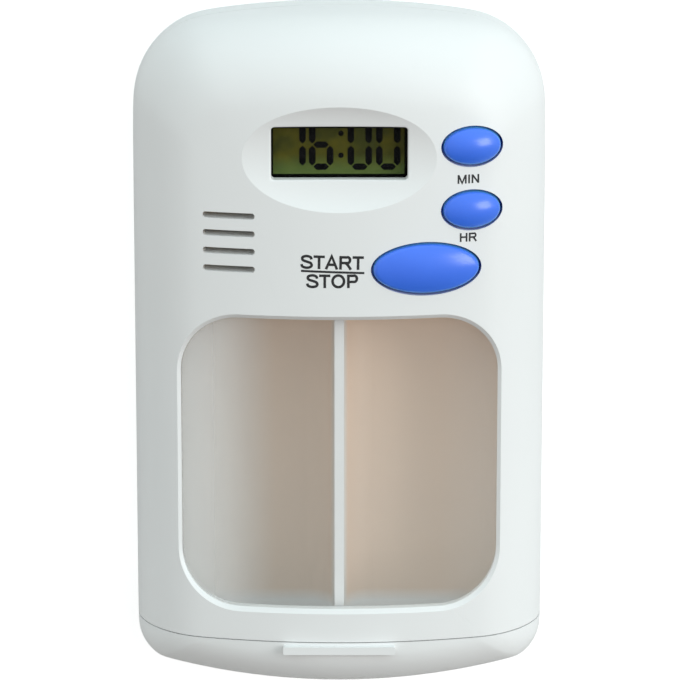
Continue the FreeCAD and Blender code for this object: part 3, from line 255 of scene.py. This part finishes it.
def drawer_plastic():
    """White at the drawer's end and on the divider; inside, a warm tan with painted light: it pales towards
    the outer walls, standing in for daylight shining through the thin plastic, and brightens towards the
    display end."""
    mat = mottled("drawer_plastic", WHITE_LIGHT, WHITE_DARK, 0.42, scale=25.0, bump=0.03)
    made, links = mat.node_tree.nodes, mat.node_tree.links
    shader = made["Principled BSDF"]
    outside = shader.inputs["Base Color"].links[0].from_socket
    spot = own_place(made, links)
    across = made.new("ShaderNodeMath")
    across.operation = "ABSOLUTE"
    links.new(spot["X"], across.inputs[0])
    inner = made.new("ShaderNodeMath")
    inner.operation = "MULTIPLY"
    links.new(fade(made, links, spot["Y"], CAP_TO_INSIDE), inner.inputs[0])
    links.new(fade(made, links, across.outputs["Value"], DIVIDER_TO_INSIDE), inner.inputs[1])
    # Painted light: the inside pales towards the outer walls, and its tan brightens towards the display end.
    left = fade(made, links, spot["X"], LEFT_WALL_PAINTED_LIGHT)
    right = fade(made, links, spot["X"], RIGHT_WALL_PAINTED_LIGHT)
    both = made.new("ShaderNodeMath")
    both.operation = "MAXIMUM"
    links.new(left, both.inputs[0])
    links.new(right, both.inputs[1])
    painted_wall_light = both.outputs["Value"]
    tan_with_painted_light = blend(made, links, fade(made, links, spot["Y"], TAN_TO_PAINTED_LIGHT), INSIDE_TAN, INSIDE_TAN_PAINTED_LIGHT)
    inside = blend(made, links, painted_wall_light, tan_with_painted_light, WALL_PAINTED_LIGHT)
    links.new(blend(made, links, inner.outputs["Value"], outside, inside), shader.inputs["Base Color"])
    return mat


def clear_plastic(name, share, tint):
    """A clear sheet: mostly see-through, with a smooth gloss and faint scratches."""
    mat = mottled(name, tint, tint, 0.06, scale=200.0, grain=900.0, bump=0.004)
    shader = mat.node_tree.nodes["Principled BSDF"]
    shader.inputs["Alpha"].default_value = share
    return mat


def window_plastic():
    """The clear pane, with more of its own white showing towards its left edge: painted light on the
    compartment behind it.
    """
    mat = clear_plastic("window_plastic", PANE_HAZE, PANE_COLOR)
    made, links = mat.node_tree.nodes, mat.node_tree.links
    haze_with_painted_light = made.new("ShaderNodeMapRange")
    haze_with_painted_light.interpolation_type = "SMOOTHSTEP"
    haze_with_painted_light.inputs["From Min"].default_value = PANE_TO_EDGE[0] * MM
    haze_with_painted_light.inputs["From Max"].default_value = PANE_TO_EDGE[1] * MM
    haze_with_painted_light.inputs["To Min"].default_value = PANE_HAZE
    haze_with_painted_light.inputs["To Max"].default_value = PANE_EDGE_PAINTED_LIGHT
    links.new(own_place(made, links)["X"], haze_with_painted_light.inputs["Value"])
    links.new(haze_with_painted_light.outputs["Result"], made["Principled BSDF"].inputs["Alpha"])
    return mat


def blue_plastic():
    """Bright blue with a soft gloss and paler rims."""
    return mottled(
        "blue_plastic", BLUE_LIGHT, BLUE_DARK, 0.3, scale=120.0, bump=0.02,
        Coat_Weight=0.5, Coat_Roughness=0.2, Sheen_Weight=0.8, Sheen_Roughness=0.4, Sheen_Tint=BLUE_SHEEN,
    )


def display_film():
    """What the display shows behind its digits: olive brown above and green below."""
    mat = mottled(
        "display_film", FILM_BROWN, FILM_DARK, 0.6, scale=400.0, bump=0.05,
        Specular_IOR_Level=0.1,
    )
    made, links = mat.node_tree.nodes, mat.node_tree.links
    shader = made["Principled BSDF"]
    upper = shader.inputs["Base Color"].links[0].from_socket
    lower = fade(made, links, own_place(made, links)["Y"], BROWN_TO_GREEN)
    links.new(blend(made, links, lower, upper, FILM_GREEN), shader.inputs["Base Color"])
    return mat


def paint(material, *names):
    """Gives the material to the named nodes."""
    for name in names:
        obj = nodes[name]
        obj.data.materials.clear()
        obj.data.materials.append(material)


def dress_nodes():
    """Every solid's material."""
    paint(white_plastic(), "front_housing", "rear_housing", "battery_door")
    paint(drawer_plastic(), "pill_drawer")
    paint(window_plastic(), "pill_window")
    paint(clear_plastic("lens_plastic", LENS_SHARE, LENS_TINT), "display_lens")
    paint(clear_plastic("cell_glass", REAR_GLASS_SHARE, REAR_GLASS_TINT), "lcd_rear_glass")
    paint(display_film(), "lcd_front_glass", "lcd_reflector")
    paint(blue_plastic(), "minute_button", "hour_button", "start_button")
    for name, light, dark, roughness, more, wearers in FINISHES:
        paint(mottled(name, light, dark, roughness, **more), *wearers)


def add_mesh(name, mesh, material, body):
    """A new piece of the scene, riding on a body."""
    obj = bpy.data.objects.new(name, mesh)
    bpy.context.scene.collection.objects.link(obj)
    obj.data.materials.clear()
    obj.data.materials.append(material)
    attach(obj, body)
    return obj


def skin_tree():
    """The front housing's surface, for laying print on it."""
    mesh = nodes["front_housing"].data
    return BVHTree.FromPolygons([v.co for v in mesh.vertices], [list(p.vertices) for p in mesh.polygons])


def lay_on_front(points, skin):
    """Flat points (x, y, height above the face) moved onto the curved front."""
    laid = []
    for x, y, height in points:
        hit, normal, _, _ = skin.ray_cast(Vector((x * MM, y * MM, WELL_ABOVE)), Vector((0, 0, -1)))
        laid.append(hit + normal * height * MM)
    return laid


def arc(middle, radii, start, end, steps=10):
    """Points on an ellipse's arc between two angles in degrees."""
    points = []
    for step in range(steps + 1):
        turn = math.radians(start + (end - start) * step / steps)
        points.append((middle[0] + radii[0] * math.cos(turn), middle[1] + radii[1] * math.sin(turn)))
    return points


def smooth(points, steps=4):
    """A smooth line through the points."""
    line = []
    padded = [points[0]] + points + [points[-1]]
    for before, start, end, after in zip(padded, padded[1:], padded[2:], padded[3:]):
        for step in range(steps):
            t = step / steps
            spot = []
            for p0, p1, p2, p3 in zip(before, start, end, after):
                bend = (2 * p0 - 5 * p1 + 4 * p2 - p3) * t + (3 * p1 - p0 - 3 * p2 + p3) * t * t
                spot.append(p1 + (p2 - p0 + bend) * t / 2)
            line.append(tuple(spot))
    return line + [points[-1]]


# Plain sans capitals, 1 high, as the centre lines of their strokes and the width that each takes up.
INK_WEIGHT = 0.19
TOP_LINE = 1 - INK_WEIGHT / 2
S_POINTS = [
    (0.8, 0.69), (0.74, 0.85), (0.47, 0.93), (0.2, 0.86), (0.14, 0.72), (0.23, 0.6),
    (0.48, 0.52), (0.74, 0.42), (0.82, 0.27), (0.73, 0.13), (0.46, 0.07), (0.17, 0.15), (0.1, 0.32),
]
CAPITALS = {
    "S": ([smooth(S_POINTS)], 0.92),
    "T": ([[(0.03, TOP_LINE), (0.83, TOP_LINE)], [(0.43, 0.0), (0.43, 1 - INK_WEIGHT)]], 0.86),
    "A": ([[(0.07, 0.0), (0.465, 0.97), (0.86, 0.0)], [(0.2, 0.34), (0.73, 0.34)]], 0.93),
    "R": (
        [
            [(0.18, 0.0), (0.18, 1.0)],
            [(0.18, TOP_LINE), (0.62, TOP_LINE), *arc((0.66, 0.705), (0.19, 0.22), 80, -80), (0.18, 0.485)],
            [(0.56, 0.47), (0.7, 0.33), (0.92, 0.0)],
        ],
        1.0,
    ),
    "O": ([arc((0.54, 0.5), (0.41, 0.43), 0, 360, 28)], 1.08),
    "P": (
        [
            [(0.18, 0.0), (0.18, 1.0)],
            [(0.18, TOP_LINE), (0.55, TOP_LINE), *arc((0.59, 0.69), (0.2, 0.235), 80, -80), (0.18, 0.455)],
        ],
        0.92,
    ),
    "M": (
        [
            [(0.17, 0.0), (0.17, 1.0)],
            [(0.99, 0.0), (0.99, 1.0)],
            [(0.19, 0.95), (0.58, 0.06), (0.97, 0.95)],
        ],
        1.16,
    ),
    "I": ([[(0.2, 0.0), (0.2, 1.0)]], 0.4),
    "N": ([[(0.17, 0.0), (0.17, 1.0)], [(0.83, 0.0), (0.83, 1.0)], [(0.19, 0.93), (0.81, 0.07)]], 1.0),
    "H": ([[(0.17, 0.0), (0.17, 1.0)], [(0.83, 0.0), (0.83, 1.0)], [(0.17, 0.53), (0.83, 0.53)]], 1.0),
}
LONGEST_MITRE = 2.0
SAME_SPOT = 1e-6
FLATTEST_TURN = 0.01


def ribbon(line, weight):
    """Left and right edge points of a stroke along a centre line, mitred at its bends."""
    left, right = [], []
    spots = [Vector(p) for p in line]
    closed = (spots[0] - spots[-1]).length < SAME_SPOT
    for place, spot in enumerate(spots):
        before = spots[place - 1] if place else (spots[-2] if closed else None)
        after = spots[place + 1] if place + 1 < len(spots) else (spots[1] if closed else None)
        sides = []
        for start, end in ((before, spot), (spot, after)):
            if start is not None and end is not None:
                along = (end - start).normalized()
                sides.append(Vector((-along.y, along.x)))
        middle = sum(sides, Vector((0, 0))).normalized()
        reach = min(1 / max(middle.dot(sides[0]), FLATTEST_TURN), LONGEST_MITRE) * weight / 2
        left.append(spot + middle * reach)
        right.append(spot - middle * reach)
    return left, right, closed


def add_ribbon(mesh, line, weight, skin):
    """A stroke as a thin closed plate on the front."""
    left, right, closed = ribbon(line, weight)
    rings = []
    for a, b in zip(left, right):
        corners = [(a.x, a.y, INK_TOP), (b.x, b.y, INK_TOP), (b.x, b.y, INK_ROOT), (a.x, a.y, INK_ROOT)]
        rings.append([mesh.verts.new(p) for p in lay_on_front(corners, skin)])
    if closed:
        for corner in rings[-1]:
            mesh.verts.remove(corner)
        rings[-1] = rings[0]
    else:
        mesh.faces.new(rings[0])
        mesh.faces.new(rings[-1][::-1])
    for first, second in zip(rings, rings[1:]):
        for side in range(4):
            ahead = (side + 1) % 4
            mesh.faces.new((first[side], second[side], second[ahead], first[ahead]))


def closed_mesh(name, mesh):
    """The mesh with all its faces turned outwards."""
    bmesh.ops.recalc_face_normals(mesh, faces=mesh.faces)
    made = bpy.data.meshes.new(name)
    mesh.to_mesh(made)
    mesh.free()
    return made


def print_strokes(name, strokes, weight, ink, skin):
    """Strokes of print on the front, as one piece."""
    mesh = bmesh.new()
    for line in strokes:
        add_ribbon(mesh, line, weight, skin)
    return add_mesh(name, closed_mesh(name, mesh), ink, "case")


def turned(point, centre, tilt):
    """The point turned about the centre."""
    x, y = point[0] - centre[0], point[1] - centre[1]
    cos, sin = math.cos(tilt), math.sin(tilt)
    return (centre[0] + x * cos - y * sin, centre[1] + x * sin + y * cos)


def letters(name, words, centre, caps, ink, skin, tilt=0.0):
    """A printed word, its middle at centre."""
    x = 0.0
    strokes = []
    for letter in words:
        lines, advance = CAPITALS[letter]
        strokes += [[(x + px, py) for px, py in line] for line in lines]
        x += advance
    low = min(px for line in strokes for px, _ in line)
    high = max(px for line in strokes for px, _ in line)
    middle = (low + high) / 2
    placed = []
    for line in strokes:
        flat = [(centre[0] + (px - middle) * caps, centre[1] + (py - 0.5) * caps) for px, py in line]
        placed.append([turned(point, centre, tilt) for point in flat])
    return print_strokes(name, placed, INK_WEIGHT * caps, ink, skin)


def lettering():
    """The words at the buttons and the rule between two of them."""
    ink = mottled("black_ink", INK_LIGHT, INK_DARK, 0.6, scale=INK_GRAIN, bump=0.1)
    skin = skin_tree()
    letters("start_word", "START", START_TEXT, BIG_CAPS, ink, skin, START_TILT)
    letters("stop_word", "STOP", STOP_TEXT, BIG_CAPS, ink, skin)
    letters("minute_word", "MIN", MIN_TEXT, SMALL_CAPS, ink, skin)
    letters("hour_word", "HR", HOUR_TEXT, SMALL_CAPS, ink, skin)
    left, right, level = RULE
    flat = [(left + (right - left) * step / RULE_STEPS, level) for step in range(RULE_STEPS + 1)]
    rule = [turned(point, ((left + right) / 2, level), RULE_TILT) for point in flat]
    print_strokes("start_rule", [rule], RULE_WEIGHT, ink, skin)


# Strokes of a digit: end points in shares of its width and height.
STROKES = {
    "top": ((0, 1), (1, 1)),
    "upper_left": ((0, 0.5), (0, 1)),
    "upper_right": ((1, 0.5), (1, 1)),
    "middle": ((0, 0.5), (1, 0.5)),
    "lower_left": ((0, 0), (0, 0.5)),
    "lower_right": ((1, 0), (1, 0.5)),
    "bottom": ((0, 0), (1, 0)),
}
LIT = {
    "0": ("top", "upper_left", "upper_right", "lower_left", "lower_right", "bottom"),
    "1": ("upper_right", "lower_right"),
    "6": ("top", "upper_left", "middle", "lower_left", "lower_right", "bottom"),
}


def add_plate(mesh, ring, low, high):
    """A thin closed plate over a ring of points given in millimetres."""
    under = [mesh.verts.new((x * MM, y * MM, low)) for x, y in ring]
    over = [mesh.verts.new((x * MM, y * MM, high)) for x, y in ring]
    mesh.faces.new(under)
    mesh.faces.new(over)
    for place in range(len(ring)):
        ahead = (place + 1) % len(ring)
        mesh.faces.new((under[place], under[ahead], over[ahead], over[place]))


def stroke_ring(start, end):
    """Outline of one stroke with pointed ends."""
    along = (end - start).normalized()
    side = Vector((-along.y, along.x))
    start = start + along * STROKE_GAP / 2
    end = end - along * STROKE_GAP / 2
    half = STROKE / 2
    return [
        start,
        start + along * half + side * half,
        end - along * half + side * half,
        end,
        end - along * half - side * half,
        start + along * half - side * half,
    ]


def digits():
    """Dark digits and colon just above the display's front glass."""
    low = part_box("lcd_front_glass")[1].z + DIGIT_GAP * MM
    high = low + FILM_THICK * MM
    mesh = bmesh.new()
    for figure, left in DIGITS:
        for part in LIT[figure]:
            ends = []
            for across, up in STROKES[part]:
                x = left + STROKE / 2 + across * (DIGIT_WIDTH - STROKE)
                y = DIGIT_LOW + STROKE / 2 + up * (DIGIT_HEIGHT - STROKE)
                ends.append(Vector((x, y)))
            add_plate(mesh, stroke_ring(*ends), low, high)
    for y in COLON_Y:
        ring = arc((COLON_X, y), (COLON_RADIUS, COLON_RADIUS), 0, 360, COLON_STEPS)
        add_plate(mesh, ring[:-1], low, high)
    dark = mottled("digit_ink", DIGIT_LIGHT, DIGIT_DARK, 0.5, scale=INK_GRAIN, Specular_IOR_Level=0.0)
    return add_mesh("digits", closed_mesh("digits", mesh), dark, "case")


def display_shade_border():
    """Black border on the display's front glass, round what the opening shows: painted shade at the display's
    edge.
    """
    glass_low, glass_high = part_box("lcd_front_glass")
    low = glass_high.z + BORDER_GAP * MM
    left, right, bottom, top = (value * MM for value in BORDER)
    outer = [
        (glass_low.x, glass_low.y), (glass_high.x, glass_low.y),
        (glass_high.x, glass_high.y), (glass_low.x, glass_high.y),
    ]
    inner = [(left, bottom), (right, bottom), (right, top), (left, top)]
    mesh = bmesh.new()
    rings = []
    high = low + FILM_THICK * MM
    for corners, z in ((outer, low), (inner, low), (inner, high), (outer, high)):
        rings.append([mesh.verts.new((x, y, z)) for x, y in corners])
    for first, second in zip(rings, rings[1:] + rings[:1]):
        for side in range(4):
            ahead = (side + 1) % 4
            mesh.faces.new((first[side], first[ahead], second[ahead], second[side]))
    # Painted shade: a black sheet round the display's edge.
    black = mottled("border_painted_shade", BORDER_LIGHT, BORDER_DARK, 0.4, scale=INK_GRAIN, Specular_IOR_Level=0.0)
    return add_mesh("display_shade_border", closed_mesh("display_shade_border", mesh), black, "case")


def whitened(made, links, shader, strength):
    """Adds plain white to what the camera sees of a surface."""
    path = made.new("ShaderNodeLightPath")
    glow = made.new("ShaderNodeEmission")
    glow.inputs["Color"].default_value = (1, 1, 1, 1)
    scaled = made.new("ShaderNodeMath")
    scaled.operation = "MULTIPLY"
    scaled.inputs[1].default_value = strength
    links.new(path.outputs["Is Camera Ray"], scaled.inputs[0])
    links.new(scaled.outputs["Value"], glow.inputs["Strength"])
    add = made.new("ShaderNodeAddShader")
    links.new(shader, add.inputs[0])
    links.new(glow.outputs["Emission"], add.inputs[1])
    return add.outputs["Shader"]


def floor():
    """A wide pale floor that the box lies on."""
    mesh = bpy.data.meshes.new("floor")
    signs = ((-1, -1), (1, -1), (1, 1), (-1, 1))
    corners = [(x * FLOOR_REACH, y * FLOOR_REACH, FLOOR_LEVEL) for x, y in signs]
    mesh.from_pydata(corners, [], [(0, 1, 2, 3)])
    obj = bpy.data.objects.new("floor", mesh)
    bpy.context.scene.collection.objects.link(obj)
    mat, made, links = tree_of("floor_paper")
    shader = made["Principled BSDF"]
    shader.inputs["Base Color"].default_value = (FLOOR_COLOR, FLOOR_COLOR, FLOOR_COLOR, 1)
    shader.inputs["Roughness"].default_value = 0.9
    out = made["Material Output"]
    links.new(whitened(made, links, shader.outputs["BSDF"], FLOOR_GLOW), out.inputs["Surface"])
    mesh.materials.append(mat)


def sky():
    """Room light that changes evenly with direction, seen by the camera as plain white."""
    world = bpy.data.worlds.new("room")
    bpy.context.scene.world = world
    world.use_nodes = True
    made, links = world.node_tree.nodes, world.node_tree.links
    path = made.new("ShaderNodeLightPath")
    room = made["Background"]
    place = made.new("ShaderNodeTexCoord")
    slope = made.new("ShaderNodeVectorMath")
    slope.operation = "DOT_PRODUCT"
    slope.inputs[1].default_value = ROOM_SLOPE
    links.new(place.outputs["Generated"], slope.inputs[0])
    bright = made.new("ShaderNodeMapRange")
    bright.inputs["From Min"].default_value = -ROOM_LIGHT
    bright.inputs["From Max"].default_value = ROOM_LIGHT
    bright.inputs["To Max"].default_value = 2 * ROOM_LIGHT
    links.new(slope.outputs["Value"], bright.inputs["Value"])
    links.new(bright.outputs["Result"], room.inputs["Strength"])
    tint = made.new("ShaderNodeVectorMath")
    tint.operation = "DOT_PRODUCT"
    tint.inputs[1].default_value = ROOM_TINT
    links.new(place.outputs["Generated"], tint.inputs[0])
    cool = made.new("ShaderNodeMapRange")
    cool.inputs["From Min"].default_value = -1.0
    cool.inputs["From Max"].default_value = 1.0
    links.new(tint.outputs["Value"], cool.inputs["Value"])
    links.new(blend(made, links, cool.outputs["Result"], ROOM_LOW, ROOM_HIGH), room.inputs["Color"])
    seen = made.new("ShaderNodeBackground")
    seen.inputs["Color"].default_value = (1, 1, 1, 1)
    seen.inputs["Strength"].default_value = 1.0
    mix = made.new("ShaderNodeMixShader")
    links.new(path.outputs["Is Camera Ray"], mix.inputs["Fac"])
    links.new(room.outputs["Background"], mix.inputs[1])
    links.new(seen.outputs["Background"], mix.inputs[2])
    links.new(mix.outputs["Shader"], made["World Output"].inputs["Surface"])


def lamp(name, place, power, color):
    """A square soft lamp that points at the middle of the part."""
    light = bpy.data.lights.new(name, "AREA")
    light.shape = "SQUARE"
    light.size = LAMP_WIDTH
    light.energy = power
    light.color = color
    obj = bpy.data.objects.new(name, light)
    bpy.context.scene.collection.objects.link(obj)
    obj.location = place
    obj.rotation_euler = (Vector((0, 0, 0)) - Vector(place)).to_track_quat("-Z", "Y").to_euler()


def studio():
    sky()
    lamp("key", KEY_PLACE, KEY_POWER, KEY_COLOR)
    lamp("fill", FILL_PLACE, FILL_POWER, FILL_COLOR)


def camera():
    """The photograph's view."""
    data = bpy.data.cameras.new("view")
    data.sensor_width = SENSOR
    data.lens = FOCAL_PIXELS / FRAME_SIZE * SENSOR
    data.shift_x = (FRAME_SIZE / 2 - CENTRE_X) / FRAME_SIZE
    data.shift_y = (CENTRE_Y - FRAME_SIZE / 2) / FRAME_SIZE
    data.clip_start = 0.01
    data.clip_end = 10
    obj = bpy.data.objects.new("view", data)
    bpy.context.scene.collection.objects.link(obj)
    back = Vector((0, math.sin(PITCH), math.cos(PITCH)))
    up = Vector((0, math.cos(PITCH), -math.sin(PITCH)))
    right = up.cross(back)
    turn = Matrix((right, up, back)).transposed().to_4x4()
    obj.matrix_world = Matrix.Translation(TARGET + back * DISTANCE) @ turn
    bpy.context.scene.camera = obj


dress_nodes()
lettering()
digits()
display_shade_border()
floor()
studio()
camera()
bpy.context.scene.view_settings.view_transform = "Standard"
